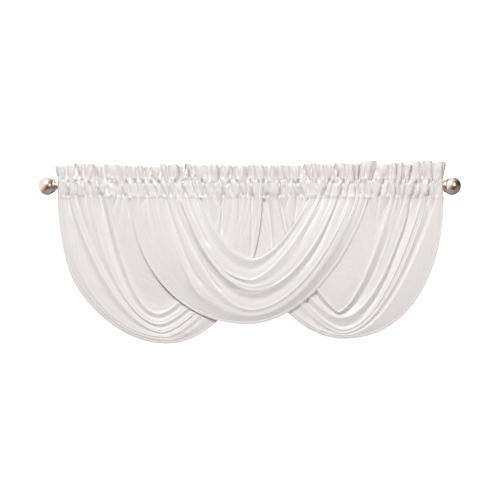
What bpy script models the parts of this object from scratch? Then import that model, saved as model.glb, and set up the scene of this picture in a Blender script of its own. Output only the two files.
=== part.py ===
# Swag valance on a curtain rod
# Three draped cloths hang from one gathered heading, and the heading's pocket holds the rod.
# Metres, +Z up. The origin is the middle of the rod's axis, and the front faces -Y.

import math
from collections import namedtuple

import bmesh
import bpy
import numpy as np

NAME = "swag_valance"
MM = 0.001

# Rod and finials
ROD_RADIUS = 0.0095
ROD_LENGTH = 1.028
ROD_SIDES = 24
BALL_RADIUS = 0.0245
BALL_CENTRE = 0.0268
BALL_STEPS = 8
NECK_RADIUS = 0.0098
STEP_RADIUS = 0.0122
DISC_RADIUS = 0.0172
NECK_LENGTH = 0.0032
STEP_END = 0.0060
DISC_END = 0.0102
FINIAL_SIDES = 22
GAP = 0.0003
MERGE_DISTANCE = 0.00001
SMOOTH_ANGLE = 40.0  # degrees

# Cloth
SWAG_THICKNESS = 0.0012
HEADING_THICKNESS = 0.0010
SEAM_Z = -0.0304
SWAG_COLUMNS = 28
CURVE_SAMPLES = 400
SEAM_HOLD = 0.006  # the seam holds the cloth flat over this drop
FALL_BOW = 1.7  # how early a cloth comes forward as it drops from its seam
RELIEF_DROP = 0.055  # below the seam the folds open over this drop
SEAM_RELIEF = 0.35  # share of a fold's depth that is left where it is gathered into the seam
FLAT_BAND = 0.004  # fold lines this close have no valley between them
OPEN_BAND = 0.016  # fold lines this far apart have the valley's whole depth
CREST_ROLL = 0.0016  # a crest rolls back this far behind its ridge
RIDGE_PLACE = 0.10  # the ridge's place between a crest and the next one out
RIDGE_SHARE = 0.45  # and its greatest share of the way to the valley
RISE_PLACE = 0.60  # where the cloth rises again, on its way from the valley to the next crest
RISE_DEPTH = 0.55  # share of the valley's depth there

# One fold line of a swag, in millimetres. left and right are its ends on the seam, low is the place
# of its lowest point and drop how far that is below the seam. Each half is a curve
# (out / reach) ** bow + (down / drop) ** fall = 1. front is how far it stands forward when lowest.
Fold = namedtuple("Fold", "name left right low drop left_bow left_fall right_bow right_fall front")

# The valley between a fold line and the next one out, on the left side, at the lowest point and on
# the right side: its place from 0 (this line) to 1 (the next), and its depth in millimetres.
Valley = namedtuple("Valley", "after left low right left_depth low_depth right_depth")

LEFT_FOLDS = (
    Fold("inner", -377, -72, -240, 309, 2.2, 1.0, 1.6, 1.6, 27),
    Fold("second", -417, -33, -239, 337, 2.0, 1.3, 1.6, 1.6, 29),
    Fold("third", -480, 8, -233, 360, 1.75, 1.05, 1.5, 1.5, 30),
    Fold("fourth", -495, 20, -223, 372, 2.0, 2.0, 1.5, 1.5, 30),
    Fold("fifth", -505, 28, -212, 381, 2.0, 2.0, 1.6, 1.6, 29),
    Fold("hem", -512, 33, -220, 392, 2.0, 2.0, 2.0, 2.0, 26),
)
LEFT_VALLEYS = (
    Valley("throat", 0.90, 0.94, 0.88, 1, 11, 2),
    Valley("inner", 0.45, 0.48, 0.50, 7, 8, 4),
    Valley("second", 0.70, 0.45, 0.50, 5, 7, 4),
    Valley("third", 0.24, 0.42, 0.50, 7, 4, 5),
    Valley("fourth", 0.50, 0.50, 0.50, 2, 2, 5),
    Valley("fifth", 0.50, 0.50, 0.50, 1, 1, 3),
)
RIGHT_FOLDS = (
    Fold("inner", 79, 377, 235, 306, 1.3, 1.25, 1.6, 1.0, 30),
    Fold("second", 39, 431, 241, 319, 1.6, 1.4, 2.0, 1.0, 28),
    Fold("third", 8, 460, 247, 353, 1.6, 1.2, 2.0, 1.0, 30),
    Fold("fourth", -7, 473, 241, 363, 1.5, 1.2, 2.0, 1.05, 30),
    Fold("fifth", -17, 500, 252, 369, 1.9, 1.8, 2.0, 1.05, 29),
    Fold("hem", -25, 518, 247, 379, 1.9, 1.8, 2.25, 2.1, 26),
)
RIGHT_VALLEYS = (
    Valley("throat", 0.80, 0.85, 0.74, 2, 0, 6),
    Valley("inner", 0.55, 0.50, 0.45, 4, 10, 4),
    Valley("second", 0.80, 0.84, 0.45, 5, 9, 8),
    Valley("third", 0.50, 0.50, 0.50, 3, 3, 3),
    Valley("fourth", 0.50, 0.50, 0.60, 3, 2, 4),
    Valley("fifth", 0.50, 0.50, 0.50, 1, 1, 2),
)
CENTRE_FOLDS = (
    Fold("inner", -136, 161, 9, 165, 2.0, 1.0, 1.75, 1.0, 40),
    Fold("second", -161, 187, 1, 220, 2.0, 1.4, 1.55, 1.0, 44),
    Fold("third", -180, 228, 15, 245, 2.0, 1.15, 1.9, 1.15, 46),
    Fold("fourth", -217, 272, 4, 299, 1.85, 1.0, 1.9, 1.1, 46),
    Fold("fifth", -237, 281, 1, 316, 2.1, 1.4, 2.0, 1.15, 46),
    Fold("hem", -316, 316, -9, 340, 2.0, 2.0, 2.0, 1.28, 42),
)
CENTRE_VALLEYS = (
    Valley("inner", 0.42, 0.40, 0.50, 5, 5, 3),
    Valley("second", 0.50, 0.50, 0.26, 3, 3, 7),
    Valley("third", 0.84, 0.36, 0.35, 8, 8, 6),
    Valley("fourth", 0.84, 0.50, 0.50, 5, 3, 3),
    Valley("fifth", 0.35, 0.55, 0.50, 3, 4, 4),
)

LEFT_SEAM_FORWARD = 0.0035
RIGHT_SEAM_FORWARD = 0.0035
CENTRE_SEAM_FORWARD = 0.0120
THROAT_PINCH = 0.012  # the throat's cloth starts this far inside its innermost fold
THROAT_STEPS = (0.0, 0.33, 0.67, 1.0)  # rows of the throat, down to its last even one
THROAT_LAST = 0.16  # which stops this share short of the throat's valley
THROAT_BEND_START = 0.1  # the throat bends back below this share of its drop
THROAT_SPREAD = 0.6  # 1 spreads the gathers on the seam as they hang, 0 spreads them evenly
SIDE_SEAM_Z = SEAM_Z + 0.0014  # the raw edges are sewn in just above the heading's lower edge

# The right cloth hangs behind the left one where they meet
SET_BACK = 0.0070
SET_BACK_FULL_X = 0.036
SET_BACK_NONE_X = 0.085

# The left hem swells out a little above its lowest stretch
HEM_SWELL = 0.0085
HEM_SWELL_DROP = 0.225
HEM_SWELL_SPREAD = 0.085
HEM_SWELL_DOWN = 0.4  # and it hangs lower there by this share of the swell

# The centre cloth's free edge is folded back behind its innermost fold, as rows of
# (share of the way to the second fold, share of the depth that it is folded back)
FOLDED_BACK = ((0.70, 1.0), (0.32, 1.0), (0.06, 0.6))
FOLDED_DEPTH = 0.0055
FOLDED_GAP = 0.0028

# Heading: each pleat's deep line on the seam and the height of the ruffle to its right, in mm
Pleat = namedtuple("Pleat", "place top")
PLEATS = (
    Pleat(-512, 53), Pleat(-484, 54), Pleat(-463, 60), Pleat(-447, 60), Pleat(-431, 59),
    Pleat(-412, 55), Pleat(-393, 60), Pleat(-369, 57), Pleat(-343, 55), Pleat(-321, 53),
    Pleat(-300, 52), Pleat(-276, 54), Pleat(-248, 55), Pleat(-224, 56), Pleat(-200, 57),
    Pleat(-177, 61), Pleat(-143, 56), Pleat(-108, 56), Pleat(-81, 57), Pleat(-45, 58),
    Pleat(-7, 58), Pleat(17, 57), Pleat(41, 57), Pleat(72, 57), Pleat(105, 56),
    Pleat(138, 60), Pleat(169, 60), Pleat(201, 58), Pleat(233, 59), Pleat(257, 59),
    Pleat(279, 63), Pleat(303, 69), Pleat(337, 62), Pleat(361, 63), Pleat(385, 64),
    Pleat(415, 60), Pleat(436, 61), Pleat(457, 66), Pleat(474, 68), Pleat(497, 66),
)
POCKET_END_X = 0.516
END_FLARE = 0.009
END_FLARE_SPREAD = 0.030
FLARE_LIMIT = 1.2  # the flare grows no further than this above the usual ruffle's top
NOTCH = 0.0035
RUFFLE_DEPTH = 0.0060

# Stations of the heading's section: height, forward, and share of the ruffle's depth.
# The strip runs up the front, over the top and down the back.
STITCH_Z = 0.0141  # the gathering stitch between the pocket and the ruffle
TOP_STATION_Z = 0.0570
Station = namedtuple("Station", "name z forward ruffle")
STATIONS = (
    Station("front seam", -0.0322, 0.0062, 0.10),
    Station("front drop", -0.0170, 0.0095, 0.18),
    Station("front of rod", -0.0020, 0.0140, 0.16),
    Station("front shoulder", 0.0090, 0.0106, 0.05),
    Station("front stitch", STITCH_Z, 0.0022, 0.25),
    Station("front ruffle", 0.0260, 0.0026, 0.65),
    Station("front rise", 0.0420, 0.0026, 0.90),
    Station("top", TOP_STATION_Z, 0.0000, 1.00),
    Station("back rise", 0.0420, -0.0026, 0.90),
    Station("back ruffle", 0.0260, -0.0026, 0.65),
    Station("back stitch", STITCH_Z, -0.0022, 0.25),
    Station("back shoulder", 0.0090, -0.0106, -0.05),
    Station("back of rod", -0.0020, -0.0140, -0.16),
    Station("back drop", -0.0170, -0.0105, -0.15),
    Station("back seam", -0.0310, -0.0080, -0.10),
)
CENTRE_SEAM_EXTRA = 0.0087  # the front seam stands this much further out over the centre cloth
CENTRE_SEAM_SPANS = ((-0.340, -0.112), (0.136, 0.346))
CENTRE_SEAM_BLEND = 0.008
SEAM_EXTRA_SHARES = {"front seam": 1.0, "front drop": 0.45}


def clear_scene():
    """Empties the scene, so that the script gives the same result each run."""
    for old in list(bpy.data.objects):
        bpy.data.objects.remove(old, do_unlink=True)


def new_collection():
    """The collection that holds the pieces."""
    pieces = bpy.data.collections.new(NAME)
    bpy.context.scene.collection.children.link(pieces)
    return pieces


def finish(name, colour, roughness, metallic):
    """A plain finish."""
    material = bpy.data.materials.new(name)
    material.use_nodes = True
    shader = material.node_tree.nodes["Principled BSDF"]
    shader.inputs["Base Color"].default_value = (*colour, 1.0)
    shader.inputs["Roughness"].default_value = roughness
    shader.inputs["Metallic"].default_value = metallic
    return material


def place_piece(name, mesh, pieces, material):
    """An object of the part, with its material."""
    piece = bpy.data.objects.new(name, mesh)
    pieces.objects.link(piece)
    piece.data.materials.append(material)
    return piece


def smooth_step(low, high, value):
    """0 below low, 1 above high, and a soft rise between."""
    share = np.clip((value - low) / (high - low), 0.0, 1.0)
    return share * share * (3.0 - 2.0 * share)


def half_curve(reach, drop, bow, fall, count):
    """Evenly walked points of one half of a fold line, from the seam to its lowest point."""
    angle = np.linspace(0.0, math.pi / 2, CURVE_SAMPLES)
    out = reach * np.cos(angle) ** (2.0 / bow)
    down = drop * np.sin(angle) ** (2.0 / fall)
    steps = np.hypot(np.diff(out), np.diff(down))
    walked = np.concatenate([[0.0], np.cumsum(steps)])
    even = np.linspace(0.0, walked[-1], count)
    return np.interp(even, walked, out), np.interp(even, walked, down)


def fold_line(fold, columns):
    """x and drop of a whole fold line, from its left end to its right end."""
    count = columns // 2 + 1
    left_out, left_down = half_curve(
        (fold.low - fold.left) * MM, fold.drop * MM, fold.left_bow, fold.left_fall, count
    )
    right_out, right_down = half_curve(
        (fold.right - fold.low) * MM, fold.drop * MM, fold.right_bow, fold.right_fall, count
    )
    x = fold.low * MM + np.concatenate([-left_out, right_out[::-1][1:]])
    down = np.concatenate([left_down, right_down[::-1][1:]])
    return x, down


def along(left, low, right, columns):
    """A value that runs from its left size over its lowest point's to its right size."""
    walk = np.linspace(0.0, 1.0, columns + 1)
    middle = np.sin(math.pi * walk) ** 2
    side = np.where(walk < 0.5, left, right)
    return side + (low - side) * middle


def swell_left_hem(x, down):
    """Moves the left side of a hem out a little."""
    walk = np.linspace(0.0, 1.0, len(x))
    swell = HEM_SWELL * np.exp(-(((down - HEM_SWELL_DROP) / HEM_SWELL_SPREAD) ** 2))
    on_left = walk < 0.5
    return x - swell * on_left, down + HEM_SWELL_DOWN * swell * on_left


def fold_forward(fold, down, seam_forward):
    """How far the crest of a fold stands in front of the rod's axis."""
    share = np.clip((down - SEAM_HOLD) / (fold.drop * MM - SEAM_HOLD), 0.0, 1.0)
    return seam_forward + (fold.front * MM - seam_forward) * (1.0 - (1.0 - share) ** FALL_BOW)


def relief(down):
    """Share of the folds' depth at a drop below the seam."""
    return SEAM_RELIEF + (1.0 - SEAM_RELIEF) * (1.0 - np.exp(-down / RELIEF_DROP))


def band_rows(here, there, valley, columns):
    """Rows of one fold, from its crest to just before the next crest."""
    x, down, forward = here
    next_x, next_down, next_forward = there
    width = np.hypot(next_x - x, next_down - down)
    open_share = np.clip((width - FLAT_BAND) / (OPEN_BAND - FLAT_BAND), 0.0, 1.0)
    depth = MM * along(valley.left_depth, valley.low_depth, valley.right_depth, columns)
    depth = depth * relief(down) * open_share
    place = along(valley.left, valley.low, valley.right, columns)
    roll = CREST_ROLL * open_share * relief(down)
    rise = place + (1.0 - place) * RISE_PLACE
    ridge = np.minimum(RIDGE_PLACE, RIDGE_SHARE * place)
    rows = []
    for share, behind in (
        (0.0 * place, roll),
        (ridge, 0.0 * depth),
        (place, depth),
        (rise, RISE_DEPTH * depth),
    ):
        row_x = x + (next_x - x) * share
        row_down = down + (next_down - down) * share
        row_forward = forward + (next_forward - forward) * share - behind
        rows.append((row_x, row_down, row_forward))
    return rows


def throat_rows(first, valley, seam_forward, columns):
    """Rows of the cloth that falls from the seam into the innermost fold, top row first."""
    x, down, forward = first
    walk = np.linspace(0.0, 1.0, columns + 1)
    across = (x - x[0]) / (x[-1] - x[0])
    width = x[-1] - x[0] - 2.0 * THROAT_PINCH
    spread = THROAT_SPREAD * across + (1.0 - THROAT_SPREAD) * walk
    seam_x = x[0] + THROAT_PINCH + width * spread
    depth = MM * along(valley.left_depth, valley.low_depth, valley.right_depth, columns)
    place = along(valley.left, valley.low, valley.right, columns)
    rows = []
    for step in THROAT_STEPS:
        share = step * (place - THROAT_LAST)
        bend = depth * relief(down) * smooth_step(THROAT_BEND_START, 1.0, share)
        row_forward = seam_forward + (forward - seam_forward) * share - bend
        rows.append((seam_x + (x - seam_x) * share, down * share, row_forward))
    bend = depth * relief(down)
    row_forward = seam_forward + (forward - seam_forward) * place - bend
    rows.append((seam_x + (x - seam_x) * place, down * place, row_forward))
    return rows


def folded_back_rows(first, second):
    """Rows of the cloth that is turned back behind a free folded edge."""
    x, down, forward = first
    next_x, next_down, _ = second
    rows = []
    depth = FOLDED_DEPTH * relief(down) + FOLDED_GAP
    for share, depth_share in FOLDED_BACK:
        row_x = x + (next_x - x) * share
        row_down = down + (next_down - down) * share
        rows.append((row_x, row_down, forward - depth * depth_share))
    return rows


def swag_rows(folds, valleys, seam_forward, free_edge, swell):
    """All rows of a swag, each of (x, drop, forward), from its top or free edge to its hem."""
    lines = []
    for fold in folds:
        x, down = fold_line(fold, SWAG_COLUMNS)
        if swell and fold.name == "hem":
            x, down = swell_left_hem(x, down)
        lines.append((x, down, fold_forward(fold, down, seam_forward)))
    if free_edge:
        rows = folded_back_rows(lines[0], lines[1])
        bands = valleys
    else:
        rows = throat_rows(lines[0], valleys[0], seam_forward, SWAG_COLUMNS)
        bands = valleys[1:]
    for here, there, valley in zip(lines[:-1], lines[1:], bands):
        rows.extend(band_rows(here, there, valley, SWAG_COLUMNS))
    rows.append(lines[-1])
    return rows


def set_back(x):
    """How far the right cloth keeps behind the left one at x."""
    return SET_BACK * (1.0 - smooth_step(SET_BACK_FULL_X, SET_BACK_NONE_X, x))


def cloth_mesh(name, rows):
    """A grid whose rows take the given places, lowest row first, so that it faces the front."""
    rows = rows[::-1]
    columns = len(rows[0][0]) - 1
    lines = len(rows) - 1
    sheet = bmesh.new()
    bmesh.ops.create_grid(sheet, x_segments=columns, y_segments=lines, size=0.5)
    for vertex in sheet.verts:
        column = round((vertex.co.x + 0.5) * columns)
        x, y, z = rows[round((vertex.co.y + 0.5) * lines)]
        vertex.co = (x[column], y[column], z[column])
    mesh = bpy.data.meshes.new(name)
    sheet.to_mesh(mesh)
    sheet.free()
    mesh.shade_smooth()
    return mesh


def thicken(piece, thickness):
    """Gives a sheet its thickness, half on each side."""
    solidify = piece.modifiers.new("thickness", "SOLIDIFY")
    solidify.thickness = thickness
    solidify.offset = 0.0


def make_swag(name, rows, pieces, cloth, behind=None):
    """One draped cloth."""
    placed = []
    for x, down, forward in rows:
        y = -forward
        if behind:
            y = y + behind(x)
        placed.append((x, y, SIDE_SEAM_Z - down))
    piece = place_piece(name, cloth_mesh(name, placed), pieces, cloth)
    thicken(piece, SWAG_THICKNESS)


def make_swags(pieces, cloth):
    """The two side cloths and the centre cloth in front of them."""
    left = swag_rows(LEFT_FOLDS, LEFT_VALLEYS, LEFT_SEAM_FORWARD, False, True)
    right = swag_rows(RIGHT_FOLDS, RIGHT_VALLEYS, RIGHT_SEAM_FORWARD, False, False)
    centre = swag_rows(CENTRE_FOLDS, CENTRE_VALLEYS, CENTRE_SEAM_FORWARD, True, False)
    make_swag("swag_left", left, pieces, cloth)
    make_swag("swag_right", right, pieces, cloth, set_back)
    make_swag("swag_centre", centre, pieces, cloth)


def heading_columns():
    """x, ruffle (-1 in a pleat's deep line, 1 on a ruffle) and top height, left to right."""
    columns = []
    places = [pleat.place * MM for pleat in PLEATS] + [POCKET_END_X]
    for index, pleat in enumerate(PLEATS):
        start, end = places[index], places[index + 1]
        before = PLEATS[max(index - 1, 0)].top
        deep_top = min(before, pleat.top) * MM - NOTCH
        columns.append((start, -1.0, deep_top))
        columns.append(((start + end) / 2, 1.0, pleat.top * MM))
    columns.append((POCKET_END_X, -1.0, PLEATS[-1].top * MM - NOTCH))
    return [np.array(part) for part in zip(*columns)]


def centre_seam_share(x):
    """1 where the centre cloth is sewn in, else 0, with a soft change."""
    share = np.zeros_like(x)
    for low, high in CENTRE_SEAM_SPANS:
        rise = smooth_step(low - CENTRE_SEAM_BLEND, low + CENTRE_SEAM_BLEND, x)
        drop = smooth_step(high - CENTRE_SEAM_BLEND, high + CENTRE_SEAM_BLEND, x)
        share = share + rise - drop
    return share


def end_flare(x, z):
    """The ruffle's two ends lean out above the stitch line."""
    above = np.clip((z - STITCH_Z) / (TOP_STATION_Z - STITCH_Z), 0.0, FLARE_LIMIT)
    right = np.exp(-(POCKET_END_X - x) / END_FLARE_SPREAD)
    left = np.exp(-(x - PLEATS[0].place * MM) / END_FLARE_SPREAD)
    return END_FLARE * above * (right - left)


def make_heading(pieces, cloth):
    """The gathered casing: rod pocket below and standing ruffle above, one folded strip."""
    x, ruffle, top = heading_columns()
    rows = []
    for station in STATIONS:
        above = max(0.0, station.z - STITCH_Z) / (TOP_STATION_Z - STITCH_Z)
        z = station.z + above * (top - TOP_STATION_Z)
        forward = station.forward + RUFFLE_DEPTH * station.ruffle * ruffle
        extra = CENTRE_SEAM_EXTRA * SEAM_EXTRA_SHARES.get(station.name, 0.0)
        forward = forward + extra * centre_seam_share(x)
        rows.append((x + end_flare(x, z), -forward, z))
    piece = place_piece("heading", cloth_mesh("heading", rows[::-1]), pieces, cloth)
    thicken(piece, HEADING_THICKNESS)


def finial_profile():
    """The turned outline, from the ball's far pole down its outer side to the neck."""
    meet = math.asin((DISC_END - BALL_CENTRE) / BALL_RADIUS)
    points = []
    for step in range(BALL_STEPS + 1):
        angle = math.pi / 2 + (meet - math.pi / 2) * step / BALL_STEPS
        points.append((BALL_RADIUS * math.cos(angle), BALL_CENTRE + BALL_RADIUS * math.sin(angle)))
    points += [
        (DISC_RADIUS, DISC_END),
        (DISC_RADIUS, STEP_END),
        (STEP_RADIUS, STEP_END),
        (STEP_RADIUS, NECK_LENGTH),
        (NECK_RADIUS, NECK_LENGTH),
        (NECK_RADIUS, 0.0),
        (0.0, 0.0),
    ]
    points[0] = (0.0, points[0][1])
    return points


def make_finial(name, side, pieces, metal):
    """A ball finial, turned about its axis, butted to the rod's end. side is -1 left, 1 right."""
    mesh = bpy.data.meshes.new(name)
    outline = bmesh.new()
    verts = [outline.verts.new((radius, 0.0, height)) for radius, height in finial_profile()]
    for first, second in zip(verts[:-1], verts[1:]):
        outline.edges.new((first, second))
    outline.to_mesh(mesh)
    outline.free()
    piece = place_piece(name, mesh, pieces, metal)
    screw = piece.modifiers.new("turn", "SCREW")
    screw.axis = "Z"
    screw.angle = 2 * math.pi
    screw.steps = FINIAL_SIDES
    screw.render_steps = FINIAL_SIDES
    screw.use_merge_vertices = True
    screw.merge_threshold = MERGE_DISTANCE
    screw.use_smooth_shade = True
    piece.rotation_euler = (0.0, side * math.pi / 2, 0.0)
    piece.location = (side * (ROD_LENGTH / 2 + GAP), 0.0, 0.0)


def make_rod(pieces, metal):
    """The plain rod along X."""
    bpy.ops.mesh.primitive_cylinder_add(
        vertices=ROD_SIDES,
        radius=ROD_RADIUS,
        depth=ROD_LENGTH,
        rotation=(0.0, math.pi / 2, 0.0),
    )
    rod = bpy.context.object
    for collection in list(rod.users_collection):
        collection.objects.unlink(rod)
    pieces.objects.link(rod)
    rod.name = "rod"
    rod.data.name = "rod"
    rod.data.materials.append(metal)
    rod.data.shade_smooth()
    rod.data.set_sharp_from_angle(angle=math.radians(SMOOTH_ANGLE))


def main():
    clear_scene()
    pieces = new_collection()
    cloth = finish("satin_weave_polyester", (0.84, 0.81, 0.81), 0.45, 0.0)
    metal = finish("satin_nickel", (0.60, 0.55, 0.51), 0.28, 1.0)
    make_rod(pieces, metal)
    make_finial("finial_left", -1, pieces, metal)
    make_finial("finial_right", 1, pieces, metal)
    make_heading(pieces, cloth)
    make_swags(pieces, cloth)


main()
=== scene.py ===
# %% [markdown]
# # A gathered swag valance
# A window valance of white satin hangs from a rod by a pocket sewn along its top. Below the pocket
# hang three draped cloths: one on each side, and one in the middle that laps over both.
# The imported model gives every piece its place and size. This lesson gives each piece its surface.

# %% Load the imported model
import math
from collections import namedtuple

import bmesh
import bpy
import numpy as np
from mathutils import Matrix


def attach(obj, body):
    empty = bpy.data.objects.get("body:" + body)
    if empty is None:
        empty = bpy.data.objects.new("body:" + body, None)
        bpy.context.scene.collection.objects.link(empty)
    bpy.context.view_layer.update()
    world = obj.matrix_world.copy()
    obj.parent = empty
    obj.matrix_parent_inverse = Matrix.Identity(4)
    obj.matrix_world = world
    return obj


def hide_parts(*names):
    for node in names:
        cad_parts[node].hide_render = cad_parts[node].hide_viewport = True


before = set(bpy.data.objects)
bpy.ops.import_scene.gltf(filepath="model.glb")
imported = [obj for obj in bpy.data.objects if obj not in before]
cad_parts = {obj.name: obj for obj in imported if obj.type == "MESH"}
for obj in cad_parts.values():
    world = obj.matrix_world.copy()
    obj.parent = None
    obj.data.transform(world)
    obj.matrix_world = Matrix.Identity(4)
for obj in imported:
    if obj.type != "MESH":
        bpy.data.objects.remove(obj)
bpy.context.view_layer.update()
MM = 0.001
print("packed nodes:", ", ".join(sorted(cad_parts)))

# %% [markdown]
# ## A few small helpers
# Colours are picked as the hex values that a paint program shows. Blender's shaders want linear
# light, so one function turns the one into the other. Another adds a shader node, fills in its
# settings and makes its links, so that a material reads as a short list. The others start a
# material, put a finished shape into the scene, and read plain rows as a table with named columns.

# %% Colour and node helpers
def colour(hex_value):
    """Linear RGBA of an sRGB hex colour."""
    parts = [int(hex_value[index:index + 2], 16) / 255 for index in (1, 3, 5)]
    linear = [part / 12.92 if part <= 0.04045 else ((part + 0.055) / 1.055) ** 2.4 for part in parts]
    return (*linear, 1.0)


def add_node(tree, kind, settings=None, values=None, links=None):
    """Adds a node. settings are its properties, values its sockets' numbers, links what feeds them."""
    node = tree.nodes.new(kind)
    for name, value in (settings or {}).items():
        setattr(node, name, value)
    for name, value in (values or {}).items():
        node.inputs[name].default_value = value
    for name, source in (links or {}).items():
        tree.links.new(source, node.inputs[name])
    return node


def new_material(name, values):
    """A material with some of its shader's values set, with its node tree and its shader."""
    material = bpy.data.materials.new(name)
    material.use_nodes = True
    shader = material.node_tree.nodes["Principled BSDF"]
    for socket, value in values.items():
        shader.inputs[socket].default_value = value
    return material, material.node_tree, shader


# %% Object and table helpers
def add_object(name, data):
    """Puts an object into the scene."""
    thing = bpy.data.objects.new(name, data)
    bpy.context.scene.collection.objects.link(thing)
    return thing


def shape_object(name, shape, material):
    """Turns a finished bmesh into an object of one material."""
    mesh = bpy.data.meshes.new(name)
    shape.to_mesh(mesh)
    shape.free()
    mesh.materials.append(material)
    return add_object(name, mesh)


def table(kind, *rows):
    """Plain rows as rows with named columns."""
    return tuple(kind(*row) for row in rows)


def column(rows, name):
    """One named column of a table, as an array."""
    return np.array([getattr(row, name) for row in rows])


# %% [markdown]
# ## The camera
# A shop photograph of a valance is taken straight on, from far enough away that nothing leans.
# A long lens does the same here. The ball finial is 49 mm across and covers 18.4 pixels of the
# 500 pixel wide picture, which fixes how much of the wall the camera sees.

# %% Camera
PICTURE_PX = 500
MM_PER_PX = 2.667
AXIS_ROW_PX = 185.6  # the rod's axis in the picture, counted from the top
MIDDLE_COLUMN_PX = 249.5  # the rod's middle, counted from the left
LENS = 100.0
SENSOR = 36.0
CLOTH_PLANE_Y = -0.012

view_width = PICTURE_PX * MM_PER_PX * MM
distance = view_width * LENS / SENSOR
aim_x = (PICTURE_PX / 2 - MIDDLE_COLUMN_PX) * MM_PER_PX * MM
aim_z = (AXIS_ROW_PX - PICTURE_PX / 2) * MM_PER_PX * MM

camera_data = bpy.data.cameras.new("camera")
camera_data.lens = LENS
camera_data.sensor_width = SENSOR
camera = add_object("camera", camera_data)
camera.location = (aim_x, CLOTH_PLANE_Y - distance, aim_z)
camera.rotation_euler = (math.pi / 2, 0.0, 0.0)
bpy.context.scene.camera = camera
print(f"camera {distance:.2f} m away, view {view_width:.3f} m wide")

# %% [markdown]
# ## Floor, lights and surroundings
# White satin shows its folds only where the light falls off a little from top to bottom, so a wide
# soft light hangs above at the left, a weaker one fills from the right, a third one shines through
# from behind, and the surroundings are bright above and darker below. What the metal reflects is a
# clearer room, bright at the upper left and dark at the lower right. The camera itself sees plain
# white behind the cloth.

# %% Floor
FLOOR_Z = -1.20
FLOOR_RADIUS = 1.15
FLOOR_SEGMENTS = 96


def make_floor():
    """A pale round floor, well below the valance."""
    disc = bmesh.new()
    bmesh.ops.create_circle(disc, cap_ends=True, segments=FLOOR_SEGMENTS, radius=FLOOR_RADIUS)
    bmesh.ops.translate(disc, verts=disc.verts, vec=(0.0, 0.0, FLOOR_Z))
    paint, _, _ = new_material("matt_white_floor_paint",
                               {"Base Color": colour("#E6E3E0"), "Roughness": 0.9})
    floor = shape_object("floor", disc, paint)


make_floor()

# %% Lights and world
Softbox = namedtuple("Softbox", "name x y z aim_z width height watts tint")
SOFTBOXES = table(
    Softbox,
    ("key", -0.95, -2.70, 2.60, -0.15, 1.2, 0.9, 104, "#FFFEFD"),
    ("front", 1.90, -3.00, 0.70, -0.15, 1.6, 1.4, 30, "#FFFEFD"),
    ("back", 0.30, 2.20, 1.20, -0.15, 2.0, 1.2, 30, "#FFFFFF"),
)
SKY_STRENGTH = 0.30
SKY_STOPS = ((0.0, "#8C7C70"), (0.42, "#A29890"), (0.55, "#D9D4D0"), (1.0, "#FFFFFF"))
ROOM_STRENGTH = 1.8
ROOM_AXES = (-0.80, 0.0, 0.60)
ROOM_STOPS = ((0.05, "#958A80"), (0.17, "#2D211A"), (0.32, "#33261E"),
              (0.46, "#8C8074"), (0.56, "#A89C90"), (0.72, "#FFFFFF"))
WHITE_BACKDROP = 1.6


def make_softbox(box):
    """An area light that looks at the valance."""
    data = bpy.data.lights.new(box.name, "AREA")
    data.shape = "RECTANGLE"
    data.size = box.width
    data.size_y = box.height
    data.energy = box.watts
    data.color = colour(box.tint)[:3]
    lamp = add_object(box.name, data)
    lamp.location = (box.x, box.y, box.z)
    away = lamp.location.copy()
    away.z -= box.aim_z
    lamp.rotation_euler = away.to_track_quat("Z", "Y").to_euler()


def sky_light(tree, axes, stops, strength):
    """Surroundings that change along a direction: a dot product with axes, run through colour stops."""
    direction = add_node(tree, "ShaderNodeTexCoord")
    along_axes = add_node(tree, "ShaderNodeVectorMath", {"operation": "DOT_PRODUCT"},
                          links={0: direction.outputs["Generated"]})
    along_axes.inputs[1].default_value = axes
    share = add_node(tree, "ShaderNodeMapRange", values={"From Min": -1.0, "From Max": 1.0},
                     links={"Value": along_axes.outputs["Value"]})
    ramp = add_node(tree, "ShaderNodeValToRGB", links={"Fac": share.outputs["Result"]})
    for place, _ in stops[1:-1]:
        ramp.color_ramp.elements.new(place)
    for element, (place, tint) in zip(ramp.color_ramp.elements, stops):
        element.position = place
        element.color = colour(tint)
    return add_node(tree, "ShaderNodeBackground", values={"Strength": strength},
                    links={"Color": ramp.outputs["Color"]})


def make_world():
    """Soft surroundings, with plain white behind for the camera and a clearer room for reflections."""
    world = bpy.data.worlds.new("studio")
    bpy.context.scene.world = world
    world.use_nodes = True
    tree = world.node_tree
    tree.nodes.clear()
    light = sky_light(tree, (0.0, 0.0, 1.0), SKY_STOPS, SKY_STRENGTH)
    room = sky_light(tree, ROOM_AXES, ROOM_STOPS, ROOM_STRENGTH)
    backdrop = add_node(tree, "ShaderNodeBackground",
                        values={"Color": colour("#FFFFFF"), "Strength": WHITE_BACKDROP})
    ray = add_node(tree, "ShaderNodeLightPath")
    seen = add_node(tree, "ShaderNodeMixShader", links={"Fac": ray.outputs["Is Glossy Ray"]})
    tree.links.new(light.outputs["Background"], seen.inputs[1])
    tree.links.new(room.outputs["Background"], seen.inputs[2])
    mix = add_node(tree, "ShaderNodeMixShader", links={"Fac": ray.outputs["Is Camera Ray"]})
    tree.links.new(seen.outputs["Shader"], mix.inputs[1])
    tree.links.new(backdrop.outputs["Background"], mix.inputs[2])
    add_node(tree, "ShaderNodeOutputWorld", links={"Surface": mix.outputs["Shader"]})


for softbox in SOFTBOXES:
    make_softbox(softbox)
make_world()
bpy.context.scene.view_settings.view_transform = "Standard"
print("lights:", ", ".join(softbox.name for softbox in SOFTBOXES))

# %% [markdown]
# ## Satin
# The cloth is a satin weave polyester: long threads float over the surface, so it is smooth and
# softly glossy, with a sheen along the tops of the folds. The threads are 0.12 mm apart, far too
# fine to show in a picture of the whole valance, so the weave is drawn coarser. All patterns
# follow the cloth's own map, which is in metres: across the threads, and away from the hem.

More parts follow.
